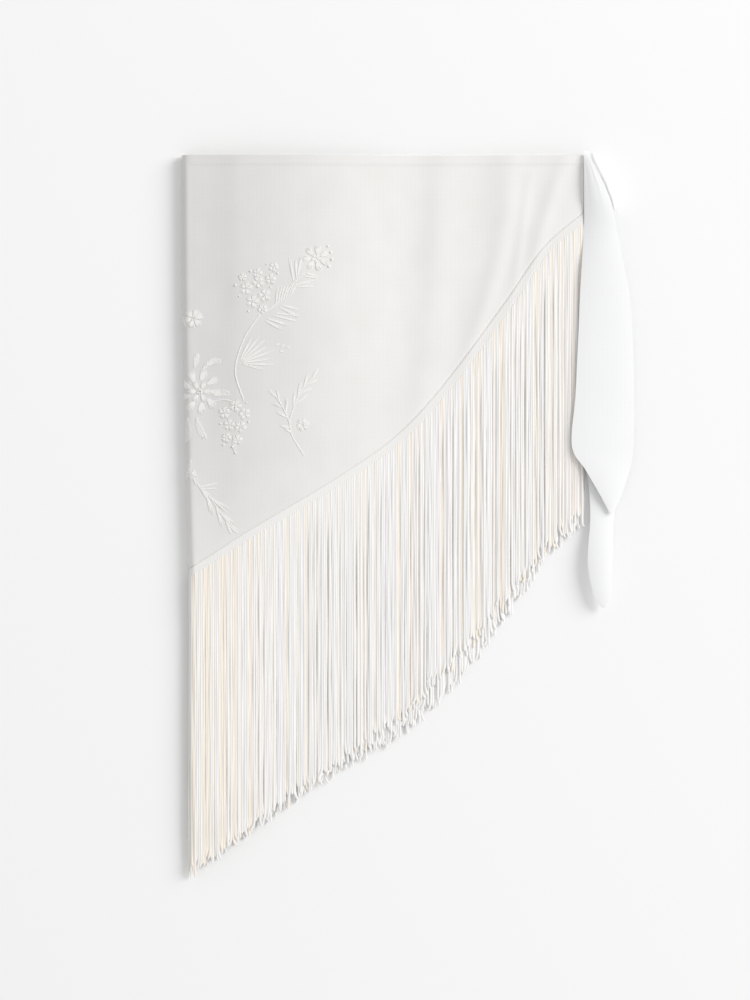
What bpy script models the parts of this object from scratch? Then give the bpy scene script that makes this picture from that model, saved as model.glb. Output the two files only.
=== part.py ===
"""A fringed hip scarf, tied and laid out flat on a table, in metres.

The scarf is a wide triangle of light cloth with a tie at each end. It is folded at its centre line,
so its front half lies on its back half. The two ties are knotted at the hip and fall as two tails.
The plan is drawn from the waist corner at the fold: x runs along the waist towards the knot, y runs
up, so the cloth hangs towards -y, and z is the height above the table.
"""

import math
import random
from collections import namedtuple

import bmesh
import bpy
from mathutils import Vector

# Cloth and gaps
CLOTH = 0.0012
TIE_CLOTH = 0.0020
SEAM_GAP = 0.0003
SLOPE_STEP = 0.0005

# The body of the scarf, folded in half
PANEL_END = 0.4000
FOLD_RADIUS = 0.0060
FOLD_FLAP = 0.0040
FOLD_STEPS = 6
FOLD_LEVEL = 0.0600
FOLD_SPREAD = 0.2800
FOLD_LEAN = 0.0070
LEAN_REACH = 0.0800
FRONT_REST = 0.0023
FRONT_HEM_REST = 0.0034
HEM_LIFT_REACH = 0.0700
KNOT_LIFT = 0.0075
KNOT_LIFT_REACH = 0.2000
BACK_START = FOLD_RADIUS + FOLD_FLAP + SEAM_GAP
BACK_KNOT_LIFT = 0.0036
BACK_KNOT_REACH = 0.0300
BACK_HEM_SHIFT = 0.0020
FRONT_COLUMNS = 38
FRONT_ROWS = 13
BACK_COLUMNS = 40
BACK_ROWS = 4
COLUMN_CROWDING = 1.3

# Depth of the cloth below the waist edge, at the seam where the fringe heading starts
HemPoint = namedtuple("HemPoint", "across drop")
HEM = [
    HemPoint(0.000, 0.411),
    HemPoint(0.040, 0.388),
    HemPoint(0.092, 0.358),
    HemPoint(0.158, 0.318),
    HemPoint(0.215, 0.277),
    HemPoint(0.261, 0.227),
    HemPoint(0.322, 0.145),
    HemPoint(0.360, 0.091),
    HemPoint(0.400, 0.056),
]

# Soft drape ridges of the front half. Each crest runs from the waist edge (top) to the hem (foot).
Ridge = namedtuple("Ridge", "top foot bend height left_reach right_reach start end")
RIDGE_FULLNESS = 0.6
RIDGE_FOLD_REACH = 0.0500
RIDGES = [
    Ridge(0.060, 0.057, 1.0, 0.0024, 0.026, 0.050, -0.30, 0.98),
    Ridge(0.137, 0.130, 1.0, 0.0034, 0.050, 0.060, -0.20, 0.98),
    Ridge(0.263, 0.242, 1.0, 0.0022, 0.018, 0.026, -0.20, 1.10),
    Ridge(0.326, 0.290, 3.0, 0.0018, 0.015, 0.015, -0.20, 1.10),
    Ridge(0.350, 0.332, 1.0, 0.0007, 0.007, 0.006, 0.10, 1.10),
    Ridge(0.383, 0.354, 1.0, 0.0012, 0.010, 0.011, -0.20, 1.15),
]

# The fringe: a narrow heading with cords rooted in it
HEADING_WIDTH = 0.0090
HEADING_THICKNESS = 0.0014
CORD_COUNT = 120
CORD_WIDTH = 0.0017
CORD_THICKNESS = 0.0015
CORD_LENGTH = 0.286
CORD_LENGTH_WAVE = 0.010
CORD_LENGTH_JITTER = 0.006
CORD_LENGTH_CYCLE = 0.42
CORD_SWAY = 0.0010
BACK_CORD_EXTRA = 0.022
BACK_CORD_EXTRA_AT = 0.270
BACK_CORD_EXTRA_REACH = 0.110
CORD_BENDS = (0.12, 0.55, 1.0)
FOLD_CORD_RISE = 0.75
FOLD_CORD_REACH = 0.1500
HEADING_ROUND_FOLD = 0.0136
TABLE_CLEARANCE = 0.0003
ARC_SAMPLES = 600

# Each fringe: its stretch of the hem, the heights of its cord layers, and its extra length
Fringe = namedtuple("Fringe", "name heading start end layers extra seed")

# The knot, as sections across the waist direction, each a flattened oval
KnotSection = namedtuple("KnotSection", "across centre half_height half_depth")
KNOT = [
    KnotSection(0.4003, -0.0290, 0.0270, 0.0048),
    KnotSection(0.4040, -0.0285, 0.0300, 0.0064),
    KnotSection(0.4120, -0.0300, 0.0310, 0.0077),
    KnotSection(0.4230, -0.0380, 0.0240, 0.0070),
    KnotSection(0.4295, -0.0465, 0.0150, 0.0050),
    KnotSection(0.4330, -0.0520, 0.0050, 0.0022),
]
KNOT_HEIGHT = 0.0090
KNOT_RINGS = 16
KNOT_SIDES = 22
KNOT_PLEAT = 0.030
KNOT_PLEAT_PITCH = 0.0085

# The tails, from the knot to the pointed end, with the height of the cloth at three places across
TailRow = namedtuple("TailRow", "y left right left_z middle_z right_z")
FRONT_TAIL = [
    TailRow(0.0038, 0.4012, 0.4075, 0.0078, 0.0078, 0.0078),
    TailRow(0.0037, 0.4008, 0.4085, 0.0106, 0.0106, 0.0106),
    TailRow(0.0010, 0.4005, 0.4102, 0.0132, 0.0134, 0.0134),
    TailRow(-0.0058, 0.4004, 0.4130, 0.0144, 0.0162, 0.0162),
    TailRow(-0.0155, 0.4003, 0.4170, 0.0155, 0.0178, 0.0173),
    TailRow(-0.0295, 0.4003, 0.4225, 0.0161, 0.0189, 0.0181),
    TailRow(-0.0420, 0.4004, 0.4263, 0.0156, 0.0184, 0.0174),
    TailRow(-0.0560, 0.4006, 0.4295, 0.0138, 0.0165, 0.0156),
    TailRow(-0.0750, 0.4003, 0.4330, 0.0116, 0.0138, 0.0128),
    TailRow(-0.1000, 0.3990, 0.4380, 0.0103, 0.0120, 0.0108),
    TailRow(-0.1400, 0.3966, 0.4460, 0.0092, 0.0108, 0.0094),
    TailRow(-0.1900, 0.3945, 0.4495, 0.0089, 0.0102, 0.0084),
    TailRow(-0.2400, 0.3920, 0.4505, 0.0090, 0.0102, 0.0080),
    TailRow(-0.2900, 0.3885, 0.4500, 0.0098, 0.0108, 0.0086),
    TailRow(-0.3140, 0.4020, 0.4460, 0.0116, 0.0120, 0.0092),
    TailRow(-0.3380, 0.4160, 0.4380, 0.0124, 0.0124, 0.0106),
    TailRow(-0.3570, 0.4262, 0.4296, 0.0122, 0.0122, 0.0118),
]
BACK_TAIL = [
    TailRow(-0.0622, 0.4080, 0.4260, 0.0090, 0.0090, 0.0090),
    TailRow(-0.0780, 0.4050, 0.4290, 0.0072, 0.0080, 0.0072),
    TailRow(-0.1050, 0.4025, 0.4340, 0.0040, 0.0050, 0.0040),
    TailRow(-0.1400, 0.4018, 0.4380, 0.0018, 0.0023, 0.0016),
    TailRow(-0.1800, 0.4016, 0.4400, 0.0010, 0.0010, 0.0010),
    TailRow(-0.2500, 0.4016, 0.4400, 0.0010, 0.0010, 0.0010),
    TailRow(-0.3000, 0.4020, 0.4380, 0.0016, 0.0018, 0.0016),
    TailRow(-0.3350, 0.4060, 0.4335, 0.0036, 0.0044, 0.0036),
    TailRow(-0.3640, 0.4070, 0.4300, 0.0068, 0.0078, 0.0066),
    TailRow(-0.3900, 0.4048, 0.4292, 0.0098, 0.0110, 0.0094),
    TailRow(-0.4100, 0.4045, 0.4285, 0.0108, 0.0120, 0.0104),
    TailRow(-0.4300, 0.4080, 0.4270, 0.0106, 0.0114, 0.0102),
    TailRow(-0.4430, 0.4120, 0.4250, 0.0098, 0.0102, 0.0096),
    TailRow(-0.4520, 0.4186, 0.4214, 0.0088, 0.0088, 0.0088),
]
TAIL_COLUMNS = 8
TAIL_STEPS = 2


def smooth_step(value):
    """0 below 0, 1 above 1, and a soft S between."""
    share = min(1.0, max(0.0, value))
    return share * share * (3.0 - 2.0 * share)


def curve_through(rows, position):
    """The columns of a table at a place between its rows, on a smooth curve through all of them."""
    last = len(rows) - 1
    index = min(last - 1, max(0, int(position)))
    share = position - index
    before = rows[max(0, index - 1)]
    here = rows[index]
    there = rows[index + 1]
    after = rows[min(last, index + 2)]
    values = []
    for a, b, c, d in zip(before, here, there, after):
        start_slope = (c - a) / 2.0
        end_slope = (d - b) / 2.0
        turn = 3.0 * (c - b) - 2.0 * start_slope - end_slope
        close = 2.0 * (b - c) + start_slope + end_slope
        values.append(b + share * (start_slope + share * (turn + share * close)))
    return type(here)(*values)


def place_in(rows, x):
    """The position, as a row number with a fraction, where a table's first column has the value x."""
    for index in range(len(rows) - 1):
        low = rows[index][0]
        high = rows[index + 1][0]
        if x <= high or index == len(rows) - 2:
            return index + (x - low) / (high - low)


def hem_drop(x):
    """How far the cloth reaches below the waist edge at x."""
    index = min(len(HEM) - 2, int(place_in(HEM, max(0.0, x))))
    here = HEM[index]
    there = HEM[index + 1]
    width = there.across - here.across
    share = (max(0.0, x) - here.across) / width
    start_slope = hem_slope(index) * width
    end_slope = hem_slope(index + 1) * width
    step = there.drop - here.drop
    turn = 3.0 * step - 2.0 * start_slope - end_slope
    close = start_slope + end_slope - 2.0 * step
    return here.drop + share * (start_slope + share * (turn + share * close))


def hem_slope(index):
    """The slant of the hem at one of its measured points."""
    before = HEM[max(0, index - 1)]
    after = HEM[min(len(HEM) - 1, index + 1)]
    return (after.drop - before.drop) / (after.across - before.across)


def heading_drop(x):
    """The heading's width, measured along y, so that it stays even where the hem slants."""
    slant = (hem_drop(x + SLOPE_STEP) - hem_drop(x - SLOPE_STEP)) / (2.0 * SLOPE_STEP)
    return HEADING_WIDTH * math.sqrt(1.0 + slant * slant)


def ridge_height(x, share):
    """The lift of all the drape ridges at x, a share of the way from waist to hem."""
    lift = 0.0
    for ridge in RIDGES:
        crest = ridge.top + (ridge.foot - ridge.top) * share**ridge.bend
        reach = ridge.left_reach if x < crest else ridge.right_reach
        length = ridge.end - ridge.start
        along = (share - ridge.start) / length
        if 0.0 < along < 1.0:
            swell = math.sin(math.pi * along) ** RIDGE_FULLNESS
            lift += ridge.height * swell * math.exp(-(((x - crest) / reach) ** 2))
    return lift


def front_height(x, y):
    """The height of the middle of the front cloth above the table."""
    drop = hem_drop(x)
    share = min(1.2, max(0.0, -y / drop))
    fold_top = CLOTH / 2.0 + 2.0 * FOLD_RADIUS
    near_hem = smooth_step(1.0 - (drop + y) / HEM_LIFT_REACH)
    rest = FRONT_REST + (FRONT_HEM_REST - FRONT_REST) * near_hem
    near_fold = 1.0 - smooth_step((x - FOLD_LEVEL) / (FOLD_SPREAD - FOLD_LEVEL))
    near_knot = smooth_step((x - PANEL_END + KNOT_LIFT_REACH) / KNOT_LIFT_REACH)
    lift = ridge_height(x, share) * smooth_step((x - FOLD_RADIUS) / RIDGE_FOLD_REACH)
    return rest + (fold_top - rest) * near_fold + KNOT_LIFT * near_knot + lift


def fold_lean(x, y):
    """The fold line drifts inwards towards the hem, and the cloth beside it follows."""
    share = min(1.0, -y / HEM[0].drop)
    return FOLD_LEAN * share * share * (1.0 - smooth_step(x / LEAN_REACH))


def front_point(station, y):
    """The middle of the front cloth and its outward normal. A station below 0 lies round the fold."""
    half_turn = math.pi * FOLD_RADIUS
    axis_height = CLOTH / 2.0 + FOLD_RADIUS
    if station >= 0.0:
        x = FOLD_RADIUS + station
        z = front_height(x, y)
        slope_x = (front_height(x + SLOPE_STEP, y) - front_height(x - SLOPE_STEP, y)) / (2.0 * SLOPE_STEP)
        slope_y = (front_height(x, y + SLOPE_STEP) - front_height(x, y - SLOPE_STEP)) / (2.0 * SLOPE_STEP)
        normal = Vector((-slope_x, -slope_y, 1.0)).normalized()
        if station == 0.0:
            normal = Vector((0.0, 0.0, 1.0))
    elif station >= -half_turn:
        angle = -station / FOLD_RADIUS
        x = FOLD_RADIUS * (1.0 - math.sin(angle))
        z = axis_height + FOLD_RADIUS * math.cos(angle)
        normal = Vector((-math.sin(angle), 0.0, math.cos(angle)))
    else:
        x = FOLD_RADIUS - half_turn - station
        z = CLOTH / 2.0
        normal = Vector((0.0, 0.0, -1.0))
    return Vector((x + fold_lean(x, y), y, z)), normal


def back_height(x):
    """The back half lies flat on the table and rises a little where it enters the knot."""
    return CLOTH / 2.0 + BACK_KNOT_LIFT * smooth_step((x - PANEL_END + BACK_KNOT_REACH) / BACK_KNOT_REACH)


def make_material(name, colour, roughness):
    material = bpy.data.materials.new(name)
    material.use_nodes = True
    shader = material.node_tree.nodes["Principled BSDF"]
    shader.inputs["Base Color"].default_value = (*colour, 1.0)
    shader.inputs["Roughness"].default_value = roughness
    shader.inputs["Metallic"].default_value = 0.0
    material.diffuse_color = (*colour, 1.0)
    return material


def make_object(name, body, material, holder):
    """Turns a bmesh into a smooth-shaded object under the holder."""
    bmesh.ops.recalc_face_normals(body, faces=body.faces)
    mesh = bpy.data.meshes.new(name)
    body.to_mesh(mesh)
    body.free()
    mesh.shade_smooth()
    mesh.set_sharp_from_angle(angle=math.radians(50.0))
    mesh.materials.append(material)
    made = bpy.data.objects.new(name, mesh)
    made.parent = holder
    bpy.context.scene.collection.objects.link(made)
    return made


def grid_of(rows):
    """A sheet of quads through rows of points."""
    body = bmesh.new()
    placed = []
    for row in rows:
        placed.append([body.verts.new(point) for point in row])
    for upper, lower in zip(placed, placed[1:]):
        for column in range(len(upper) - 1):
            body.faces.new((upper[column], upper[column + 1], lower[column + 1], lower[column]))
    return body


def make_wall(name, rows, thickness, material, holder):
    """A sheet given its thickness, half to each side."""
    wall = make_object(name, grid_of(rows), material, holder)
    solid = wall.modifiers.new("thickness", "SOLIDIFY")
    solid.thickness = thickness
    solid.offset = 0.0
    solid.use_even_offset = True
    solid.use_rim = True
    return wall


def front_stations():
    """Places across the front half: the flap under the fold, the roll, then columns to the knot."""
    half_turn = math.pi * FOLD_RADIUS
    stations = [-half_turn - FOLD_FLAP]
    stations += [-half_turn * (FOLD_STEPS - step) / FOLD_STEPS for step in range(FOLD_STEPS)]
    width = PANEL_END - FOLD_RADIUS
    for column in range(FRONT_COLUMNS + 1):
        left_over = 1.0 - column / FRONT_COLUMNS
        stations.append(width * (1.0 - left_over**COLUMN_CROWDING))
    return stations


def make_front_panel(material, holder):
    rows = []
    for row in range(FRONT_ROWS + 1):
        share = row / FRONT_ROWS
        points = []
        for station in front_stations():
            x = front_point(station, 0.0)[0].x
            points.append(front_point(station, -hem_drop(x) * share)[0])
        rows.append(points)
    return make_wall("front_panel", rows, CLOTH, material, holder)


def back_drop(x):
    return hem_drop(x) - BACK_HEM_SHIFT


def make_back_panel(material, holder):
    rows = []
    for row in range(BACK_ROWS + 1):
        share = row / BACK_ROWS
        points = []
        for column in range(BACK_COLUMNS + 1):
            x = BACK_START + (PANEL_END - BACK_START) * column / BACK_COLUMNS
            y = -back_drop(x) * share
            points.append(Vector((x + fold_lean(x, y), y, back_height(x))))
        rows.append(points)
    return make_wall("back_panel", rows, CLOTH, material, holder)


def front_heading_point(station, share):
    """The middle of the front heading, from its seam (share 0) to the cord roots (share 1)."""
    x = front_point(station, 0.0)[0].x
    y = -hem_drop(x) - 2.0 * SEAM_GAP - heading_drop(x) * share
    point, normal = front_point(station, y)
    return point, normal


def back_heading_point(station, share):
    """The same for the back heading, which lies just above the table."""
    y = -back_drop(station) - 2.0 * SEAM_GAP - heading_drop(station) * share
    x = station + fold_lean(station, y)
    height = back_height(station) - CLOTH / 2.0 + TABLE_CLEARANCE + HEADING_THICKNESS / 2.0
    return Vector((x, y, height)), Vector((0.0, 0.0, 1.0))


def cord_places(fringe):
    """Stations for the cords, spread evenly along the slanting heading."""
    width = fringe.end - fringe.start
    stations = [fringe.start + width * step / ARC_SAMPLES for step in range(ARC_SAMPLES + 1)]
    lengths = [0.0]
    for here, there in zip(stations, stations[1:]):
        gone = fringe.heading(there, 0.0)[0] - fringe.heading(here, 0.0)[0]
        lengths.append(lengths[-1] + gone.length)
    places = []
    for number in range(CORD_COUNT):
        wanted = lengths[-1] * (number + 0.5) / CORD_COUNT
        step = next(i for i, length in enumerate(lengths) if length >= wanted)
        share = (wanted - lengths[step - 1]) / (lengths[step] - lengths[step - 1])
        places.append(stations[step - 1] + (stations[step] - stations[step - 1]) * share)
    return places


def cord_length(x, extra, draw):
    """The cords are longest at both ends of the hem. The back ones reach further in one stretch."""
    wave = CORD_LENGTH_WAVE * math.cos(2.0 * math.pi * x / CORD_LENGTH_CYCLE)
    more = extra * math.exp(-(((x - BACK_CORD_EXTRA_AT) / BACK_CORD_EXTRA_REACH) ** 2))
    return CORD_LENGTH + wave + more + draw.uniform(-CORD_LENGTH_JITTER, CORD_LENGTH_JITTER)


def cord_middles(root, layer, length, draw):
    """The middles of a cord's cross-sections. It drops to its layer, but stays up beside the fold."""
    near_fold = 1.0 - smooth_step(root.x / FOLD_CORD_REACH)
    height = layer + (root.z - layer) * FOLD_CORD_RISE * near_fold
    middles = []
    for bend in CORD_BENDS:
        sway = draw.uniform(-CORD_SWAY, CORD_SWAY) * bend
        middles.append(Vector((root.x + sway, root.y - length * bend, height)))
    return middles


def draw_cord(body, ring, middles):
    """Extends four root corners into a four-sided cord through its cross-sections, and closes it."""
    wide = CORD_WIDTH / 2.0
    deep = CORD_THICKNESS / 2.0
    for middle in middles:
        corners = ((-wide, deep), (wide, deep), (wide, -deep), (-wide, -deep))
        below = tuple(body.verts.new(middle + Vector((x, 0.0, z))) for x, z in corners)
        for corner in range(4):
            following = (corner + 1) % 4
            body.faces.new((ring[corner], ring[following], below[following], below[corner]))
        ring = below
    body.faces.new(ring)


def make_fringe(fringe, material, holder):
    """A heading strip, with one cord drawn out of its lower side at each place."""
    draw = random.Random(fringe.seed)
    body = bmesh.new()

    def pair(station, share):
        point, normal = fringe.heading(station, share)
        offset = normal * HEADING_THICKNESS / 2.0
        return body.verts.new(point + offset), body.verts.new(point - offset)

    places = cord_places(fringe)
    between = [(a + b) / 2.0 for a, b in zip(places, places[1:])]
    seam = [pair(station, 0.0) for station in (fringe.start, *between, fringe.end)]
    first = pair(fringe.start, 1.0)
    last = pair(fringe.end, 1.0)
    body.faces.new((seam[0][0], seam[0][1], first[1], first[0]))
    body.faces.new((seam[-1][0], seam[-1][1], last[1], last[0]))
    previous = first
    for number, place in enumerate(places):
        root, normal = fringe.heading(place, 1.0)
        half = CORD_WIDTH / 2.0 * max(abs(normal.z), 0.5)
        left = pair(place - half, 1.0)
        right = pair(place + half, 1.0)
        for side in (0, 1):
            body.faces.new((seam[number][side], previous[side], left[side]))
            body.faces.new((seam[number][side], left[side], right[side], seam[number + 1][side]))
        body.faces.new((seam[number][0], seam[number + 1][0], seam[number + 1][1], seam[number][1]))
        body.faces.new((previous[0], previous[1], left[1], left[0]))
        layer = fringe.layers[number % len(fringe.layers)]
        length = cord_length(root.x, fringe.extra, draw)
        draw_cord(body, (left[0], right[0], right[1], left[1]), cord_middles(root, layer, length, draw))
        previous = right
    for side in (0, 1):
        body.faces.new((seam[-1][side], previous[side], last[side]))
    body.faces.new((previous[0], previous[1], last[1], last[0]))
    return make_object(fringe.name, body, material, holder)


def make_knot(material, holder):
    """The wrapped ties: ovals across the knot, with the pleats of the wrap running round them."""
    body = bmesh.new()
    rings = []
    start = KNOT[0].across
    width = KNOT[-1].across - start
    for step in range(KNOT_RINGS + 1):
        x = start + width * math.sin(math.pi / 2.0 * step / KNOT_RINGS)
        section = curve_through(KNOT, place_in(KNOT, x))
        pleat = 1.0 + KNOT_PLEAT * math.cos(2.0 * math.pi * (x - start) / KNOT_PLEAT_PITCH)
        ring = []
        for side in range(KNOT_SIDES):
            angle = 2.0 * math.pi * side / KNOT_SIDES
            y = section.centre + section.half_height * math.cos(angle)
            z = KNOT_HEIGHT + section.half_depth * pleat * math.sin(angle)
            ring.append(body.verts.new((x, y, z)))
        rings.append(ring)
    for left, right in zip(rings, rings[1:]):
        for side in range(KNOT_SIDES):
            following = (side + 1) % KNOT_SIDES
            body.faces.new((left[side], left[following], right[following], right[side]))
    body.faces.new(rings[0])
    body.faces.new(rings[-1])
    return make_object("knot", body, material, holder)


def tail_height(section, across):
    """The height across a tail, on a smooth arch through its two edges and its middle."""
    left_part = section.left_z * (1.0 - across) * (1.0 - 2.0 * across)
    middle_part = section.middle_z * 4.0 * across * (1.0 - across)
    right_part = section.right_z * across * (2.0 * across - 1.0)
    return left_part + middle_part + right_part


def make_tail(name, table, material, holder):
    """A tie end as rows across its width."""
    rows = []
    for step in range((len(table) - 1) * TAIL_STEPS + 1):
        section = curve_through(table, step / TAIL_STEPS)
        points = []
        for column in range(TAIL_COLUMNS + 1):
            across = column / TAIL_COLUMNS
            x = section.left + (section.right - section.left) * across
            z = tail_height(section, across)
            points.append(Vector((x, section.y, max(z, TIE_CLOTH / 2.0))))
        rows.append(points)
    return make_wall(name, rows, TIE_CLOTH, material, holder)


def centre_over_origin(pieces, holder):
    """Moves the holder so that the middle of the scarf's footprint is at the origin."""
    bpy.context.view_layer.update()
    graph = bpy.context.evaluated_depsgraph_get()
    corners = []
    for piece in pieces:
        shown = piece.evaluated_get(graph)
        corners += [shown.matrix_world @ Vector(corner) for corner in shown.bound_box]
    middle_x = (min(c.x for c in corners) + max(c.x for c in corners)) / 2.0
    middle_y = (min(c.y for c in corners) + max(c.y for c in corners)) / 2.0
    holder.location = (-middle_x, -middle_y, 0.0)


def main():
    for old in list(bpy.data.objects):
        bpy.data.objects.remove(old)
    holder = bpy.data.objects.new("scarf", None)
    bpy.context.scene.collection.objects.link(holder)
    ivory = make_material("ivory_crepe", (0.90, 0.88, 0.85), 0.70)
    cream = make_material("cream_cord", (0.92, 0.89, 0.83), 0.60)
    front_end = PANEL_END - FOLD_RADIUS
    front = Fringe(
        "front_fringe", front_heading_point, -HEADING_ROUND_FOLD, front_end, (0.0047, 0.0066), 0.0, 7
    )
    back = Fringe(
        "back_fringe", back_heading_point, BACK_START, PANEL_END, (0.00115, 0.00290), BACK_CORD_EXTRA, 8
    )
    pieces = [
        make_front_panel(ivory, holder),
        make_back_panel(ivory, holder),
        make_fringe(front, cream, holder),
        make_fringe(back, cream, holder),
        make_knot(ivory, holder),
        make_tail("front_tail", FRONT_TAIL, ivory, holder),
        make_tail("back_tail", BACK_TAIL, ivory, holder),
    ]
    centre_over_origin(pieces, holder)


main()
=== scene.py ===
import math
import random
import bpy
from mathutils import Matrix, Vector, noise


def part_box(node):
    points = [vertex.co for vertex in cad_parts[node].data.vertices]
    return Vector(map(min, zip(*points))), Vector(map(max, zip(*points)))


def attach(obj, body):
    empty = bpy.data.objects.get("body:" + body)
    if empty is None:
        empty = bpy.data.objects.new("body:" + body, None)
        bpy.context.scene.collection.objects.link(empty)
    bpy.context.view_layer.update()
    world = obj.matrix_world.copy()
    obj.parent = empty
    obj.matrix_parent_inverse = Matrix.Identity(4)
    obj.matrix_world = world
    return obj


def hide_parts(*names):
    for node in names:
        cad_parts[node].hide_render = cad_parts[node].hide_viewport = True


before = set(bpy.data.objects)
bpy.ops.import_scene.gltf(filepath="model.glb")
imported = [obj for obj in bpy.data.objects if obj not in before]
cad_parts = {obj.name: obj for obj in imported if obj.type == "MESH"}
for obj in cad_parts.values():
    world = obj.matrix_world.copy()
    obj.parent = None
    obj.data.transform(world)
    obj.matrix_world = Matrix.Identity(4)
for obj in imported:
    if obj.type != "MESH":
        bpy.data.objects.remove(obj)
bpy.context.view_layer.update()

# the plan of the scarf
# The same plan as the solids: x runs along the waist from the fold to the knot, y runs up from the
# waist edge, so the cloth hangs towards -y. All sizes are in metres.

clothPlan = {
    "wall": 0.0012,              # wall of the CAD cloth
    "panelEnd": 0.4000,          # folded waist, from the fold to the knot
    "foldRadius": 0.0060,
    "foldFlap": 0.0040,
    "foldSpread": 0.2800,
    "foldLevel": 0.0600,         # the raised cloth stays level this far from the fold
    "foldLean": 0.0070,
    "leanReach": 0.0800,
    "frontRest": 0.0023,
    "frontHemRest": 0.0034,
    "hemLiftReach": 0.0700,
    "knotLift": 0.0075,
    "knotLiftReach": 0.2000,
    "backKnotLift": 0.0036,
    "backKnotReach": 0.0300,
    "backHemShift": 0.0020,
    "seamGap": 0.0006,
    "headingWidth": 0.0090,
}

# across, drop: the slanting hem below the waist edge
hemPoints = [
    (0.000, 0.411), (0.040, 0.388), (0.092, 0.358), (0.158, 0.318), (0.215, 0.277),
    (0.261, 0.227), (0.322, 0.145), (0.360, 0.091), (0.400, 0.056),
]

# top, foot, bend, height, left reach, right reach, start, end of each soft drape ridge
drapeRidges = [
    (0.060, 0.057, 1.0, 0.0024, 0.026, 0.050, -0.30, 0.98),
    (0.137, 0.130, 1.0, 0.0034, 0.050, 0.060, -0.20, 0.98),
    (0.263, 0.242, 1.0, 0.0022, 0.018, 0.026, -0.20, 1.10),
    (0.326, 0.290, 3.0, 0.0018, 0.015, 0.015, -0.20, 1.10),
    (0.350, 0.332, 1.0, 0.0007, 0.007, 0.006, 0.10, 1.10),
    (0.383, 0.354, 1.0, 0.0012, 0.010, 0.011, -0.20, 1.15),
]
ridgeFullness = 0.6
ridgeFoldReach = 0.050

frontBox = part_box("front_panel")
planCorner = Vector((frontBox[0][0] + clothPlan["wall"] / 2, frontBox[1][1], 0.0))


def smoothStep(value):
    share = min(1.0, max(0.0, value))
    return share * share * (3 - 2 * share)


def hemSlope(index):
    before = hemPoints[max(0, index - 1)]
    after = hemPoints[min(len(hemPoints) - 1, index + 1)]
    return (after[1] - before[1]) / (after[0] - before[0])


def hemDrop(x):
    x = max(0.0, x)
    index = next((i for i in range(len(hemPoints) - 1) if x <= hemPoints[i + 1][0]), len(hemPoints) - 2)
    here, there = hemPoints[index], hemPoints[index + 1]
    width = there[0] - here[0]
    share = (x - here[0]) / width
    startSlope = hemSlope(index) * width
    endSlope = hemSlope(index + 1) * width
    step = there[1] - here[1]
    turn = 3 * step - 2 * startSlope - endSlope
    close = startSlope + endSlope - 2 * step
    return here[1] + share * (startSlope + share * (turn + share * close))


def headingDrop(x):
    slant = (hemDrop(x + 0.0005) - hemDrop(x - 0.0005)) / 0.001
    return clothPlan["headingWidth"] * math.sqrt(1 + slant * slant)


def ridgeHeight(x, share):
    lift = 0.0
    for top, foot, bend, height, leftReach, rightReach, start, end in drapeRidges:
        crest = top + (foot - top) * share ** bend
        reach = leftReach if x < crest else rightReach
        along = (share - start) / (end - start)
        if 0 < along < 1:
            lift += height * math.sin(math.pi * along) ** ridgeFullness * math.exp(-((x - crest) / reach) ** 2)
    return lift


def frontHeight(x, y):
    drop = hemDrop(x)
    share = min(1.2, max(0.0, -y / drop))
    foldTop = clothPlan["wall"] / 2 + 2 * clothPlan["foldRadius"]
    nearHem = smoothStep(1 - (drop + y) / clothPlan["hemLiftReach"])
    rest = clothPlan["frontRest"] + (clothPlan["frontHemRest"] - clothPlan["frontRest"]) * nearHem
    nearFold = 1 - smoothStep((x - clothPlan["foldLevel"]) / (clothPlan["foldSpread"] - clothPlan["foldLevel"]))
    nearKnot = smoothStep((x - clothPlan["panelEnd"] + clothPlan["knotLiftReach"]) / clothPlan["knotLiftReach"])
    lift = ridgeHeight(x, share) * smoothStep((x - clothPlan["foldRadius"]) / ridgeFoldReach)
    return rest + (foldTop - rest) * nearFold + clothPlan["knotLift"] * nearKnot + lift


def foldLeanAt(x, y):
    share = min(1.0, -y / hemPoints[0][1])
    return clothPlan["foldLean"] * share * share * (1 - smoothStep(x / clothPlan["leanReach"]))


def frontPoint(station, y, detail=None):
    # a station above 0 lies on the front, below 0 it lies round the fold
    radius = clothPlan["foldRadius"]
    if station > 0:
        x = radius + station
        height = lambda a, b: frontHeight(a, b) + (detail(a, b) if detail else 0.0)
        z = height(x, y)
        step = 0.0005
        slopeX = (height(x + step, y) - height(x - step, y)) / (2 * step)
        slopeY = (height(x, y + step) - height(x, y - step)) / (2 * step)
        normal = Vector((-slopeX, -slopeY, 1.0)).normalized()
    elif station >= -math.pi * radius:
        angle = -station / radius
        x = radius * (1 - math.sin(angle))
        z = clothPlan["wall"] / 2 + radius + radius * math.cos(angle)
        normal = Vector((-math.sin(angle), 0.0, math.cos(angle)))
    else:
        x = radius - math.pi * radius - station
        z = clothPlan["wall"] / 2
        normal = Vector((0.0, 0.0, -1.0))
    return planCorner + Vector((x + foldLeanAt(x, y), y, z)), normal


def backHeight(x):
    reach = clothPlan["backKnotReach"]
    return clothPlan["wall"] / 2 + clothPlan["backKnotLift"] * smoothStep((x - clothPlan["panelEnd"] + reach) / reach)


def backDrop(x):
    return hemDrop(x) - clothPlan["backHemShift"]


def backPoint(x, y):
    return planCorner + Vector((x + foldLeanAt(x, y), y, backHeight(x)))


def frontHeadingPoint(station, share):
    x = clothPlan["foldRadius"] + station if station > 0 else frontPoint(station, 0.0)[0].x - planCorner.x
    y = -hemDrop(x) - clothPlan["seamGap"] - headingDrop(x) * share
    return frontPoint(station, y)


def backHeadingPoint(station, share):
    y = -backDrop(station) - clothPlan["seamGap"] - headingDrop(station) * share
    point = backPoint(station, y)
    return point + Vector((0, 0, 0.0004)), Vector((0, 0, 1.0))


# making and finishing pieces

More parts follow.
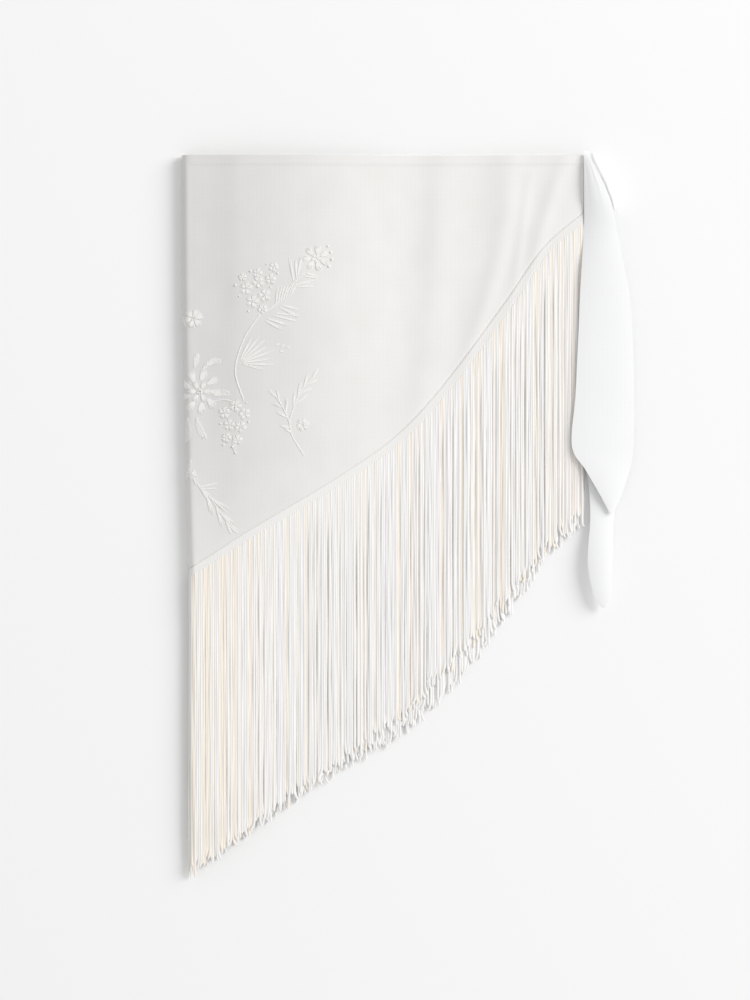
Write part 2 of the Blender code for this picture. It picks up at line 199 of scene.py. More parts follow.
def deselectAll():
    bpy.ops.object.select_all(action="DESELECT")


def makeActive(piece):
    deselectAll()
    piece.select_set(True)
    bpy.context.view_layer.objects.active = piece


def applyModifiers(piece):
    makeActive(piece)
    for modifier in list(piece.modifiers):
        bpy.ops.object.modifier_apply(modifier=modifier.name)


def meshPiece(name, points, faces, uvs=None):
    mesh = bpy.data.meshes.new(name)
    mesh.from_pydata([(p[0], p[1], max(p[2], 0.0001)) for p in points], [], faces)
    if uvs:
        layer = mesh.uv_layers.new(name="UVMap")
        for loop in mesh.loops:
            layer.data[loop.index].uv = uvs[loop.vertex_index]
    mesh.update()
    piece = bpy.data.objects.new(name, mesh)
    bpy.context.scene.collection.objects.link(piece)
    return piece


def sheetPiece(name, rows, uvRows):
    # a sheet through rows of points, seen from its upper side
    width = len(rows[0])
    points = [p for row in rows for p in row]
    uvs = [uv for row in uvRows for uv in row]
    faces = []
    for r in range(len(rows) - 1):
        for c in range(width - 1):
            a = r * width + c
            faces.append((a, a + width, a + width + 1, a + 1))
    return meshPiece(name, points, faces, uvs)


def thicken(piece, thickness, offset=0.0):
    solid = piece.modifiers.new("thickness", "SOLIDIFY")
    solid.thickness = thickness
    solid.offset = offset
    solid.use_even_offset = True
    applyModifiers(piece)


def smoothPiece(piece, angle=60):
    makeActive(piece)
    bpy.ops.object.shade_smooth_by_angle(angle=math.radians(angle))


def finishPiece(piece, material, nodes=()):
    piece.data.materials.clear()
    piece.data.materials.append(material)
    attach(piece, "root")
    if nodes:
        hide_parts(*nodes)
    return piece


def curveRow(rows, position):
    # the values of a table between its rows, on a smooth curve
    last = len(rows) - 1
    index = min(last - 1, max(0, int(position)))
    share = position - index
    before, here = rows[max(0, index - 1)], rows[index]
    there, after = rows[index + 1], rows[min(last, index + 2)]
    values = []
    for a, b, c, d in zip(before, here, there, after):
        startSlope = (c - a) / 2
        endSlope = (d - b) / 2
        turn = 3 * (c - b) - 2 * startSlope - endSlope
        close = 2 * (b - c) + startSlope + endSlope
        values.append(b + share * (startSlope + share * (turn + share * close)))
    return values


# finishes

def groupSocket(group, name, kind, side, value=None):
    socket = group.interface.new_socket(name=name, in_out=side, socket_type=kind)
    if value is not None:
        socket.default_value = value
    return socket


def addNode(tree, kind, **settings):
    node = tree.nodes.new(kind)
    for key, value in settings.items():
        setattr(node, key, value)
    return node


def makeCrepeGroup():
    # plain weave with uneven crepe yarns: a height for bump, a soft mottle for the colour, and a painted shade that
    # darkens the colour towards the fold, less towards the hem
    group = bpy.data.node_groups.new("crepeWeaveAndFoldShade", "ShaderNodeTree")
    groupSocket(group, "Vector", "NodeSocketVector", "INPUT")
    groupSocket(group, "Threads", "NodeSocketFloat", "INPUT", 1400.0)
    groupSocket(group, "Mottle Scale", "NodeSocketFloat", "INPUT", 30.0)
    groupSocket(group, "Fold Painted Shade", "NodeSocketFloat", "INPUT", 0.0)
    groupSocket(group, "Height", "NodeSocketFloat", "OUTPUT")
    groupSocket(group, "Mottle", "NodeSocketFloat", "OUTPUT")
    groupSocket(group, "Painted Shade", "NodeSocketFloat", "OUTPUT")
    given = addNode(group, "NodeGroupInput")
    result = addNode(group, "NodeGroupOutput")
    link = group.links.new
    waves = []
    for direction in ("X", "Y"):
        wave = addNode(group, "ShaderNodeTexWave", wave_type="BANDS", bands_direction=direction)
        wave.inputs["Distortion"].default_value = 1.6
        wave.inputs["Detail"].default_value = 1.0
        wave.inputs["Detail Scale"].default_value = 0.5
        scale = addNode(group, "ShaderNodeMath", operation="MULTIPLY")
        scale.inputs[1].default_value = 0.05
        link(given.outputs["Threads"], scale.inputs[0])
        link(given.outputs["Vector"], wave.inputs["Vector"])
        link(scale.outputs[0], wave.inputs["Scale"])
        waves.append(wave)
    weave = addNode(group, "ShaderNodeMath", operation="MULTIPLY")
    link(waves[0].outputs["Fac"], weave.inputs[0])
    link(waves[1].outputs["Fac"], weave.inputs[1])
    grain = addNode(group, "ShaderNodeTexNoise")
    grain.inputs["Scale"].default_value = 900.0
    grain.inputs["Detail"].default_value = 2.0
    link(given.outputs["Vector"], grain.inputs["Vector"])
    both = addNode(group, "ShaderNodeMath", operation="ADD")
    link(weave.outputs[0], both.inputs[0])
    link(grain.outputs["Fac"], both.inputs[1])
    link(both.outputs[0], result.inputs["Height"])
    mottle = addNode(group, "ShaderNodeTexNoise")
    mottle.inputs["Detail"].default_value = 4.0
    link(given.outputs["Vector"], mottle.inputs["Vector"])
    link(given.outputs["Mottle Scale"], mottle.inputs["Scale"])
    link(mottle.outputs["Fac"], result.inputs["Mottle"])
    # painted shade: the colour is darker towards the fold and the waist edge, fading towards the hem
    parts = addNode(group, "ShaderNodeSeparateXYZ")
    link(given.outputs["Vector"], parts.inputs[0])
    away = addNode(group, "ShaderNodeMapRange", interpolation_type="SMOOTHSTEP")
    away.inputs["From Min"].default_value = 0.0
    away.inputs["From Max"].default_value = 0.260
    away.inputs["To Min"].default_value = 1.0
    away.inputs["To Max"].default_value = 0.0
    link(parts.outputs["X"], away.inputs["Value"])
    down = addNode(group, "ShaderNodeMapRange", interpolation_type="SMOOTHSTEP")
    down.inputs["From Min"].default_value = -0.600
    down.inputs["From Max"].default_value = -0.200
    link(parts.outputs["Y"], down.inputs["Value"])
    near = addNode(group, "ShaderNodeMath", operation="MULTIPLY")
    link(away.outputs["Result"], near.inputs[0])
    link(down.outputs["Result"], near.inputs[1])
    paintedFoldShade = addNode(group, "ShaderNodeMath", operation="MULTIPLY")
    link(near.outputs[0], paintedFoldShade.inputs[0])
    link(given.outputs["Fold Painted Shade"], paintedFoldShade.inputs[1])
    tone = addNode(group, "ShaderNodeMath", operation="SUBTRACT")
    tone.inputs[0].default_value = 1.0
    link(paintedFoldShade.outputs[0], tone.inputs[1])
    link(tone.outputs[0], result.inputs["Painted Shade"])
    return group


def makeTwistGroup():
    # the plies of a thread or cord, running slantwise round it. U goes round it, V along it in metres
    group = bpy.data.node_groups.new("threadTwist", "ShaderNodeTree")
    groupSocket(group, "Vector", "NodeSocketVector", "INPUT")
    groupSocket(group, "Plies", "NodeSocketFloat", "INPUT", 2.0)
    groupSocket(group, "Turns per Metre", "NodeSocketFloat", "INPUT", 220.0)
    groupSocket(group, "Height", "NodeSocketFloat", "OUTPUT")
    groupSocket(group, "Fibre", "NodeSocketFloat", "OUTPUT")
    given = addNode(group, "NodeGroupInput")
    result = addNode(group, "NodeGroupOutput")
    link = group.links.new
    parts = addNode(group, "ShaderNodeSeparateXYZ")
    link(given.outputs["Vector"], parts.inputs[0])
    around = addNode(group, "ShaderNodeMath", operation="MULTIPLY")
    link(parts.outputs["X"], around.inputs[0])
    link(given.outputs["Plies"], around.inputs[1])
    along = addNode(group, "ShaderNodeMath", operation="MULTIPLY")
    link(parts.outputs["Y"], along.inputs[0])
    link(given.outputs["Turns per Metre"], along.inputs[1])
    turns = addNode(group, "ShaderNodeMath", operation="ADD")
    link(around.outputs[0], turns.inputs[0])
    link(along.outputs[0], turns.inputs[1])
    angle = addNode(group, "ShaderNodeMath", operation="MULTIPLY")
    angle.inputs[1].default_value = 2 * math.pi
    link(turns.outputs[0], angle.inputs[0])
    ply = addNode(group, "ShaderNodeMath", operation="SINE")
    link(angle.outputs[0], ply.inputs[0])
    round_ = addNode(group, "ShaderNodeMath", operation="ABSOLUTE")
    link(ply.outputs[0], round_.inputs[0])
    link(round_.outputs[0], result.inputs["Height"])
    fibre = addNode(group, "ShaderNodeTexNoise")
    fibre.inputs["Scale"].default_value = 60.0
    fibre.inputs["Detail"].default_value = 2.0
    link(given.outputs["Vector"], fibre.inputs["Vector"])
    link(fibre.outputs["Fac"], result.inputs["Fibre"])
    return group


crepeWeaveAndFoldShade = makeCrepeGroup()
threadTwist = makeTwistGroup()


def makeFabric(name, group, inputs, lightColour, darkColour, look, mask, bump):
    # look: roughness, sheen, sheen roughness, specular. mask: the group output that mixes the colours
    material = bpy.data.materials.new(name)
    material.use_nodes = True
    tree = material.node_tree
    shader = tree.nodes["Principled BSDF"]
    shader.inputs["Roughness"].default_value = look[0]
    shader.inputs["Sheen Weight"].default_value = look[1]
    shader.inputs["Sheen Roughness"].default_value = look[2]
    shader.inputs["Specular IOR Level"].default_value = look[3]
    pattern = addNode(tree, "ShaderNodeGroup", node_tree=group)
    for key, value in inputs.items():
        pattern.inputs[key].default_value = value
    place = addNode(tree, "ShaderNodeTexCoord")
    tree.links.new(place.outputs["UV"], pattern.inputs["Vector"])
    ramp = addNode(tree, "ShaderNodeValToRGB")
    ramp.color_ramp.elements[0].position = 0.30
    ramp.color_ramp.elements[0].color = (*darkColour, 1)
    ramp.color_ramp.elements[1].position = 0.70
    ramp.color_ramp.elements[1].color = (*lightColour, 1)
    tree.links.new(pattern.outputs[mask], ramp.inputs["Fac"])
    # this group output scales the colour down: painted shade towards the fold, where the group gives one
    if "Painted Shade" in pattern.outputs:
        shade = addNode(tree, "ShaderNodeVectorMath", operation="SCALE")
        tree.links.new(ramp.outputs["Color"], shade.inputs[0])
        tree.links.new(pattern.outputs["Painted Shade"], shade.inputs["Scale"])
        tree.links.new(shade.outputs[0], shader.inputs["Base Color"])
    else:
        tree.links.new(ramp.outputs["Color"], shader.inputs["Base Color"])
    relief = addNode(tree, "ShaderNodeBump")
    relief.inputs["Strength"].default_value = bump[0]
    relief.inputs["Distance"].default_value = bump[1]
    tree.links.new(pattern.outputs["Height"], relief.inputs["Height"])
    tree.links.new(relief.outputs["Normal"], shader.inputs["Normal"])
    return material


# the halves' cloth carries the painted shade towards the fold
ivoryCrepe = makeFabric(
    "ivoryCrepe", crepeWeaveAndFoldShade, {"Threads": 1400.0, "Mottle Scale": 26.0, "Fold Painted Shade": 0.165},
    (0.883, 0.867, 0.851), (0.858, 0.838, 0.820), (0.82, 0.15, 0.5, 0.25), "Mottle", (0.35, 0.00008),
)
# painted light: the tails are the same cloth as the halves, made whiter as if more strongly lit
paintedLightTailCrepe = makeFabric(
    "paintedLightTailCrepe", crepeWeaveAndFoldShade, {"Threads": 1400.0, "Mottle Scale": 20.0},
    (0.912, 0.914, 0.918), (0.900, 0.901, 0.905), (0.80, 0.15, 0.5, 0.25), "Mottle", (0.35, 0.00008),
)
# painted shade: the knot is the same cloth as the tails, made darker so that its slopes facing the lamp are not so
# bright
paintedShadeKnotCrepe = makeFabric(
    "paintedShadeKnotCrepe", crepeWeaveAndFoldShade, {"Threads": 1400.0, "Mottle Scale": 20.0},
    (0.825, 0.825, 0.828), (0.812, 0.812, 0.815), (0.80, 0.15, 0.5, 0.25), "Mottle", (0.35, 0.00008),
)
ivoryCord = makeFabric(
    "ivoryCord", threadTwist, {"Plies": 2.0, "Turns per Metre": 240.0},
    (0.905, 0.897, 0.884), (0.885, 0.872, 0.853), (0.75, 0.10, 0.4, 0.20), "Fibre", (0.2, 0.0002),
)
# painted shade: the warm tan that light bouncing and passing through the cords gives in the gaps between them
paintedGapShadeCord = makeFabric(
    "paintedGapShadeCord", threadTwist, {"Plies": 2.0, "Turns per Metre": 240.0},
    (0.935, 0.868, 0.780), (0.920, 0.845, 0.750), (0.75, 0.10, 0.4, 0.20), "Fibre", (0.2, 0.0002),
)
ivoryTape = makeFabric(
    "ivoryTape", crepeWeaveAndFoldShade, {"Threads": 1400.0, "Mottle Scale": 60.0},
    (0.885, 0.868, 0.850), (0.858, 0.838, 0.816), (0.80, 0.15, 0.5, 0.25), "Mottle", (0.3, 0.00008),
)
silkThread = makeFabric(
    "silkThread", threadTwist, {"Plies": 1.0, "Turns per Metre": 500.0},
    (0.900, 0.892, 0.875), (0.870, 0.857, 0.832), (0.42, 0.10, 0.3, 0.50), "Fibre", (0.3, 0.0001),
)
print("finishes ready")

# the two halves of the cloth

frontCloth = {
    "thickness": 0.0007,
    "columns": 210,
    "crowding": 1.15,
    "rollSteps": 14,
    "hemBand": 0.0095,           # turned hem along the waist
    "hemRise": 0.00030,
    "middleRows": 118,
    "wrinkle": 0.00035,          # height of the small uneven wrinkles
}
bandSteps = [0.0, 0.0004, 0.0012, 0.0035, 0.0065, 0.0088, 0.0095, 0.0102, 0.0125]
edgeSteps = [0.0050, 0.0032, 0.0020, 0.0010, 0.0002, -0.0005, -0.0009]


def frontDetail(x, y):
    # small wrinkles, and the step where the waist hem is turned in
    drop = hemDrop(x)
    slow = noise.noise(Vector((x * 22, y * 7, 3.1)))
    fine = noise.noise(Vector((x * 60, y * 22, 7.7)))
    quiet = smoothStep(-y / 0.02) * smoothStep((drop + y) / 0.02)
    rise = frontCloth["hemRise"] * (1 - smoothStep((-y - frontCloth["hemBand"] + 0.0006) / 0.0012))
    rolled = 0.0003 * smoothStep(1 - (drop + y) / 0.0050)
    return frontCloth["wrinkle"] * (slow + 0.5 * fine) * quiet + rise - rolled


def frontStations():
    radius = clothPlan["foldRadius"]
    halfTurn = math.pi * radius
    steps = frontCloth["rollSteps"]
    stations = [-halfTurn - clothPlan["foldFlap"]]
    stations += [-halfTurn * (steps - i) / steps for i in range(steps)]
    width = clothPlan["panelEnd"] - radius
    for i in range(frontCloth["columns"] + 1):
        left = 1 - i / frontCloth["columns"]
        stations.append(width * (1 - left ** frontCloth["crowding"]))
    return stations


def clothDrops(drop, middleRows):
    # distances below the waist edge: fine rows at both edges, even rows between them
    start, end = bandSteps[-1], drop - edgeSteps[0]
    middle = [start + (end - start) * i / middleRows for i in range(1, middleRows)]
    return bandSteps + middle + [drop - step for step in edgeSteps]


def makeFrontCloth():
    stations = frontStations()
    columns = []
    for station in stations:
        x = clothPlan["foldRadius"] + station if station > 0 else frontPoint(station, 0.0)[0].x - planCorner.x
        columns.append([(station, -d) for d in clothDrops(hemDrop(x), frontCloth["middleRows"])])
    rows, uvRows = [], []
    lift = (clothPlan["wall"] - frontCloth["thickness"]) / 2
    for r in range(len(columns[0])):
        row = []
        for column in columns:
            point, normal = frontPoint(*column[r], frontDetail)
            row.append(point + normal * lift)
        rows.append(row)
        uvRows.append([column[r] for column in columns])
    piece = sheetPiece("frontCloth", rows, uvRows)
    area = sum(face.area for face in piece.data.polygons)
    thicken(piece, frontCloth["thickness"])
    smoothPiece(piece)
    finishPiece(piece, ivoryCrepe, ["front_panel"])
    return piece, area


def makeBackCloth():
    start = clothPlan["foldRadius"] + clothPlan["foldFlap"] + clothPlan["seamGap"] / 2
    columns = 90
    rows, uvRows = [], []
    for r in range(31):
        row, uvRow = [], []
        for c in range(columns + 1):
            x = start + (clothPlan["panelEnd"] - start) * c / columns
            y = -backDrop(x) * r / 30
            row.append(backPoint(x, y))
            uvRow.append((x, y))
        rows.append(row)
        uvRows.append(uvRow)
    piece = sheetPiece("backCloth", rows, uvRows)
    area = sum(face.area for face in piece.data.polygons)
    thicken(piece, clothPlan["wall"])
    smoothPiece(piece)
    finishPiece(piece, ivoryCrepe, ["back_panel"])
    return piece, area


frontPiece, frontArea = makeFrontCloth()
backPiece, backArea = makeBackCloth()
print("cloth halves", round(frontArea, 4), round(backArea, 4))

# the embroidery

# White satin stitches, each one a raised thread on the cloth. Places are in millimetres on the laid
# scarf: across from the fold, and up from the waist edge.
embroideryLook = {
    "stitchWidth": 0.00095,
    "stitchRise": 0.00052,
    "spacing": 0.90,             # between stitches, in millimetres
    "unevenness": 0.16,
    "knotSize": 0.0008,
}
stitchPoints, stitchFaces, stitchUvs = [], [], []
needle = random.Random(23)


def onCloth(across, up):
    # the cloth's upper face under a place of the drawing
    lean = foldLeanAt(max(0.0, across / 1000), up / 1000) * 1000
    point, normal = frontPoint((across - lean) / 1000 - clothPlan["foldRadius"], up / 1000, frontDetail)
    return point + normal * (clothPlan["wall"] / 2), normal


def stitch(ax, ay, bx, by, width=1.0, rise=1.0):
    # one raised thread from a to b, sunk into the cloth at its ends
    jitter = embroideryLook["unevenness"]
    bx, by = bx + needle.uniform(-jitter, jitter) * 2, by + needle.uniform(-jitter, jitter) * 2
    half = embroideryLook["stitchWidth"] / 2 * width * needle.uniform(0.85, 1.15)
    height = embroideryLook["stitchRise"] * rise * needle.uniform(0.85, 1.15)
    length = math.hypot(bx - ax, by - ay)
    if length < 0.3:
        return
    rings = 4 if length < 6 else 6
    first = len(stitchPoints)
    for i in range(rings):
        share = i / (rings - 1)
        point, normal = onCloth(ax + (bx - ax) * share, ay + (by - ay) * share)
        ahead = onCloth(ax + (bx - ax) * (share + 0.02), ay + (by - ay) * (share + 0.02))[0] - point
        side = ahead.cross(normal).normalized() if ahead.length > 1e-9 else Vector((1, 0, 0))
        full = math.sin(math.pi * (0.12 + 0.76 * share)) ** 0.6
        low = point - normal * 0.0003
        stitchPoints.extend([
            low - side * half * full, point - side * half * 0.75 * full + normal * height * 0.75 * full,
            point + side * half * 0.75 * full + normal * height * 0.75 * full, low + side * half * full,
        ])
        stitchUvs.extend((s / 4, length * share / 1000) for s in range(4))
    for i in range(rings - 1):
        for s in range(4):
            a, b = first + i * 4 + s, first + i * 4 + (s + 1) % 4
            stitchFaces.append((a, a + 4, b + 4, b))
    stitchFaces.append((first, first + 1, first + 2, first + 3))
    last = first + (rings - 1) * 4
    stitchFaces.append((last + 3, last + 2, last + 1, last))


def knotStitch(x, y, size=1.0):
    # a small round knot: a flat dome of three rings
    point, normal = onCloth(x, y)
    side = Vector((0, 1, 0)).cross(normal).normalized()
    up = normal.cross(side)
    radius = embroideryLook["knotSize"] * size * needle.uniform(0.8, 1.2)
    first = len(stitchPoints)
    for k, (wide, high) in enumerate(((0.9, -0.25), (1.0, 0.35), (0.6, 0.85))):
        for s in range(7):
            angle = 2 * math.pi * (s + 0.5 * k) / 7
            ring = side * math.cos(angle) + up * math.sin(angle)
            stitchPoints.append(point + ring * radius * wide + normal * radius * high)
            stitchUvs.append((s / 7, 0.001 * k))
    for k in range(2):
        for s in range(7):
            a, b = first + k * 7 + s, first + k * 7 + (s + 1) % 7
            stitchFaces.append((a, b, b + 7, a + 7))
    stitchFaces.append(tuple(first + s for s in reversed(range(7))))
    stitchFaces.append(tuple(first + 14 + s for s in range(7)))


def stemLine(points, width=1.0):
    # overlapping slanted stitches along a line
    places = [curveRow(points, i / 12) for i in range(12 * (len(points) - 1) + 1)]
    gone, here = 0.0, places[0]
    for a, b in zip(places, places[1:]):
        gone += math.hypot(b[0] - a[0], b[1] - a[1])
        if gone > 1.7:
            dx, dy = b[0] - a[0], b[1] - a[1]
            size = math.hypot(dx, dy)
            dx, dy = dx / size, dy / size
            stitch(here[0] - dx - dy * 0.45, here[1] - dy + dx * 0.45, b[0] + dx + dy * 0.45, b[1] + dy - dx * 0.45, width)
            gone, here = 0.0, b


def petal(x, y, bearing, length, width, rise=1.0):
    # long stitches side by side that open like a fan. A bearing of 0 points up the scarf
    angle = math.radians(bearing)
    fx, fy, sx, sy = math.sin(angle), math.cos(angle), math.cos(angle), -math.sin(angle)
    count = max(3, round(width / embroideryLook["spacing"]))
    for k in range(count):
        out = (k + 0.5) / count * 2 - 1
        foot, tip = out * width * 0.16, out * width * 0.5
        start = length * 0.08 * abs(out)
        end = length * (1 - 0.22 * out * out)
        stitch(x + fx * start + sx * foot, y + fy * start + sy * foot, x + fx * end + sx * tip, y + fy * end + sy * tip, 1, rise)


def leaf(x, y, bearing, length, width, bend=0.0):
    # a spine of short stitches with slanting stitches on both sides
    count = max(4, round(length / embroideryLook["spacing"] / 1.25))
    for i in range(count):
        share = (i + 0.5) / count
        angle = math.radians(bearing + bend * share)
        fx, fy, sx, sy = math.sin(angle), math.cos(angle), math.cos(angle), -math.sin(angle)
        px, py = x + fx * length * share, y + fy * length * share
        half = width / 2 * math.sin(math.pi * min(0.97, share * 0.92 + 0.05)) ** 0.75
        for hand in (-1, 1):
            stitch(px, py, px + fx * half * 0.9 + sx * half * hand, py + fy * half * 0.9 + sy * half * hand, 0.95)
    angle = math.radians(bearing + bend * 0.5)
    stemLine([(x, y), (x + math.sin(angle) * length, y + math.cos(angle) * length)], 0.8)


def blossom(x, y, size, petals, turn, knots=4):
    for k in range(petals):
        bearing = turn + 360 * k / petals + needle.uniform(-6, 6)
        angle = math.radians(bearing)
        foot = size * 0.11
        petal(x + math.sin(angle) * foot, y + math.cos(angle) * foot, bearing, size * 0.40, size * 0.36, 1.5)
    for k in range(knots):
        angle = 2 * math.pi * k / max(1, knots)
        knotStitch(x + math.sin(angle) * size * 0.09, y + math.cos(angle) * size * 0.09)


def stitchUpperSpray():
    # the cluster of small blossoms, the open bloom and their long stem
    florets = [
        (64, -133, 13, 10), (76, -127, 12, 40), (88, -124, 11, 5), (70, -146, 13, 20), (82, -140, 13, 55),
        (75, -118, 10, 15), (91, -112, 10, 30), (60, -122, 8, 0), (80, -154, 10, 45),
    ]
    for x, y, size, turn in florets:
        blossom(x, y, size, 5, turn)
    for x, y in ((68, -116), (84, -109), (95, -118), (57, -141), (66, -156), (53, -130), (88, -132)):
        knotStitch(x, y, 1.3)
    for k in range(7):
        petal(93 + 2.5 * k, -150 + 1.7 * k, 8 + 3 * k, 18 - 0.8 * k, 1.8, 1.3)
    for x, y, bearing, length in (
        (97, -152, 118, 22), (99, -150, 104, 17), (92, -158, 95, 24), (90, -160, 104, 25), (84, -163, 108, 24),
        (82, -165, 118, 20), (111, -127, -10, 25), (114, -124, -3, 20), (115, -121, 10, 22), (112, -130, 76, 22),
        (114, -132, 86, 17), (121, -121, 96, 14), (123, -118, 108, 11),
    ):
        petal(x, y, bearing, length, 2.3, 1.2)
    stemLine([(76, -160), (92, -150), (108, -131), (122, -117)])
    for k in range(7):
        bearing = math.radians(12 + 51 * k)
        x, y = 133 + 5.0 * math.sin(bearing), -103 + 4.4 * math.cos(bearing)
        petal(x, y, math.degrees(bearing), 8.5, 6.5, 1.5)
    for k in range(5):
        bearing = math.radians(30 + 72 * k)
        petal(133 + math.sin(bearing), -103 + math.cos(bearing), math.degrees(bearing), 4.5, 2.6, 1.4)
    for x, y in ((145, -91), (148, -97), (149, -104), (146, -111)):
        knotStitch(x, y, 1.5)
    stemLine([(77, -160), (65, -177), (56, -198), (53, -219), (61, -244)], 1.2)
    for bearing, length in ((26, 25), (37, 30), (48, 33), (59, 30), (70, 33), (81, 27), (92, 31), (103, 22)):
        angle = math.radians(bearing)
        petal(56 + 4 * math.sin(angle), -208 + 4 * math.cos(angle), bearing, length, 2.2, 1.1)
    for x, y, bearing in ((93, -190, 60), (98, -191, 75), (103, -192, 85), (97, -196, 95)):
        petal(x, y, bearing, 4, 1.8)


def stitchSprig():
    # the small upright sprig in the middle
    stemLine([(121, -299), (110, -281), (107, -266), (112, -249), (119, -234), (131, -221)])
    stemLine([(107, -268), (101, -253), (92, -239)])
    for x, y, bearing, length in (
        (111, -252, 2, 16), (113, -248, 52, 15), (115, -242, 10, 16), (117, -238, 62, 14), (121, -232, 16, 15),
        (124, -229, 64, 12), (129, -223, 30, 12), (105, -262, -62, 13), (103, -257, 4, 15), (100, -252, -68, 12),
        (97, -247, -12, 13), (94, -242, -48, 11), (107, -272, -78, 10), (109, -277, -58, 9),
    ):
        petal(x, y, bearing, length, 2.4, 1.1)
    blossom(120, -269, 13, 6, 15)
    stemLine([(108, -274), (114, -271)])


def stitchFoldGroup():
    # the full flower at the fold and what hangs below it
    blossom(11, -163, 19, 6, 20, 5)
    leaf(3, -170, -30, 13, 5)
    for k in range(9):
        bearing = math.radians(40 * k + 8)
        x, y = 17 + 10 * math.sin(bearing), -236 + 11 * math.cos(bearing)
        petal(x, y, math.degrees(bearing) + 14, 12, 8, 1.2)
    for k in range(6):
        bearing = math.radians(60 * k + 30)
        petal(17 + 3.5 * math.sin(bearing), -236 + 3.5 * math.cos(bearing), math.degrees(bearing), 8, 5.5, 1.6)
    for k in range(6):
        knotStitch(17 + 2.0 * math.sin(k * 1.05), -236 + 2.0 * math.cos(k * 1.05), 1.2)
    leaf(20, -214, 40, 17, 7, 14)
    leaf(24, -208, 78, 14, 6)
    leaf(12, -212, 12, 14, 6)
    leaf(31, -240, 66, 16, 7, 18)
    leaf(5, -262, 176, 25, 8, 10)
    leaf(14, -262, 168, 22, 7, -12)
    leaf(-4, -240, -100, 16, 8)
    blossom(-12, -222, 17, 6, 0, 5)
    for x, y, size, turn in (
        (42, -257, 12, 0), (53, -250, 13, 25), (62, -258, 12, 50), (47, -269, 12, 10), (58, -271, 12, 35),
        (44, -282, 10, 20), (55, -284, 10, 5),
    ):
        blossom(x, y, size, 5, turn)
    stemLine([(30, -246), (42, -244), (54, -247)])
    for x, y in ((38, -268), (66, -266), (50, -291), (53, -297), (41, -289), (64, -247)):
        knotStitch(x, y, 1.3)
    leaf(51, -280, 176, 17, 4)
    leaf(8, -303, 186, 14, 5)
    leaf(11, -314, 170, 15, 5)
    blossom(7, -318, 11, 5, 10)


def stitchLowerLeaves():
    stemLine([(13, -326), (25, -338), (40, -360), (52, -376)])
    for x, y, bearing, length in (
        (18, -331, 78, 18), (22, -335, 160, 26), (28, -342, 122, 22), (33, -350, 162, 22), (38, -357, 128, 18),
        (43, -364, 158, 15), (15, -329, 140, 18), (47, -369, 126, 11),
    ):
        petal(x, y, bearing, length, 2.8, 1.1)
        petal(x + 2, y - 2, bearing + 9, length * 0.8, 2.0, 1.1)


def stitchHems():
    # the small stitches that hold the waist hem and the edge above the fringe
    for k in range(138):
        across = -14 + 3.0 * k
        stitch(across, -8.4, across + 1.7, -8.4, 0.45, 0.45)
    for k in range(150):
        across = -10 + 2.7 * k
        x = max(0.0, across / 1000)
        up = 3.6 - hemDrop(x) * 1000
        slant = (hemDrop(x + 0.001) - hemDrop(x)) * 1000
        stitch(across, up, across + 1.5, up - 1.5 * slant, 0.45, 0.45)


def makeEmbroidery():
    stitchHems()
    stitchUpperSpray()
    stitchSprig()
    stitchFoldGroup()
    stitchLowerLeaves()
    piece = meshPiece("embroidery", stitchPoints, stitchFaces, stitchUvs)
    smoothPiece(piece, 80)
    return finishPiece(piece, silkThread)


embroidery = makeEmbroidery()
print("embroidery", len(stitchFaces))

# the fringe

fringeLook = {
    "cords": 232,
    "radius": 0.00118,
    "flatness": 0.38,            # height of a cord against its width
    "sides": 6,
    "ringStep": 0.0056,
    "length": 0.286,
    "lengthWave": 0.010,
    "lengthCycle": 0.42,
    "lengthJitter": 0.007,
    "tipCurl": 0.012,            # the last stretch of a cord, which curls
    "clump": 0.00022,             # how far cords gather into uneven bunches
    "sway": 0.00034,
    "backExtra": 0.022,
    "backExtraAt": 0.270,
    "backExtraReach": 0.110,
    "foldRise": 0.75,
    "covered": 0.78,             # share of a back cord that lies under the front ones, painted in the warm gap shade
    "foldReach": 0.15,
}


def evenStations(headingPoint, start, end, count):
    # places spread evenly across the plan
    samples = 500
    stations = [start + (end - start) * i / samples for i in range(samples + 1)]
    lengths = [0.0]
    for here, there in zip(stations, stations[1:]):
        gone = headingPoint(there, 1.0)[0] - headingPoint(here, 1.0)[0]
        lengths.append(lengths[-1] + math.hypot(gone.x, 0.35 * gone.y, gone.z))
    places = []
    for i in range(count):
        wanted = lengths[-1] * (i + 0.5) / count
        step = next(k for k, length in enumerate(lengths) if length >= wanted)
        share = (wanted - lengths[step - 1]) / (lengths[step] - lengths[step - 1])
        places.append(stations[step - 1] + (stations[step] - stations[step - 1]) * share)
    return places


def tubeInto(points, faces, uvs, route, radii, sides):
    # adds a closed round tube along a route, with U round it and V along it
    first = len(points)
    gone = 0.0
    for i, place in enumerate(route):
        ahead = (route[min(i + 1, len(route) - 1)] - route[max(i - 1, 0)]).normalized()
        side = ahead.cross(Vector((0, 0, 1)))
        side = side.normalized() if side.length > 1e-6 else Vector((1, 0, 0))
        up = side.cross(ahead)
        if i:
            gone += (place - route[i - 1]).length
        for s in range(sides):
            angle = 2 * math.pi * s / sides
            rise = up * radii[i] * math.sin(angle) * fringeLook["flatness"]
            points.append(place + side * radii[i] * math.cos(angle) + rise)
            uvs.append((s / sides, gone))
    for i in range(len(route) - 1):
        for s in range(sides):
            a = first + i * sides + s
            b = first + i * sides + (s + 1) % sides
            faces.append((a, b, b + sides, a + sides))
    faces.append(tuple(first + s for s in reversed(range(sides))))
    last = first + (len(route) - 1) * sides
    faces.append(tuple(last + s for s in range(sides)))


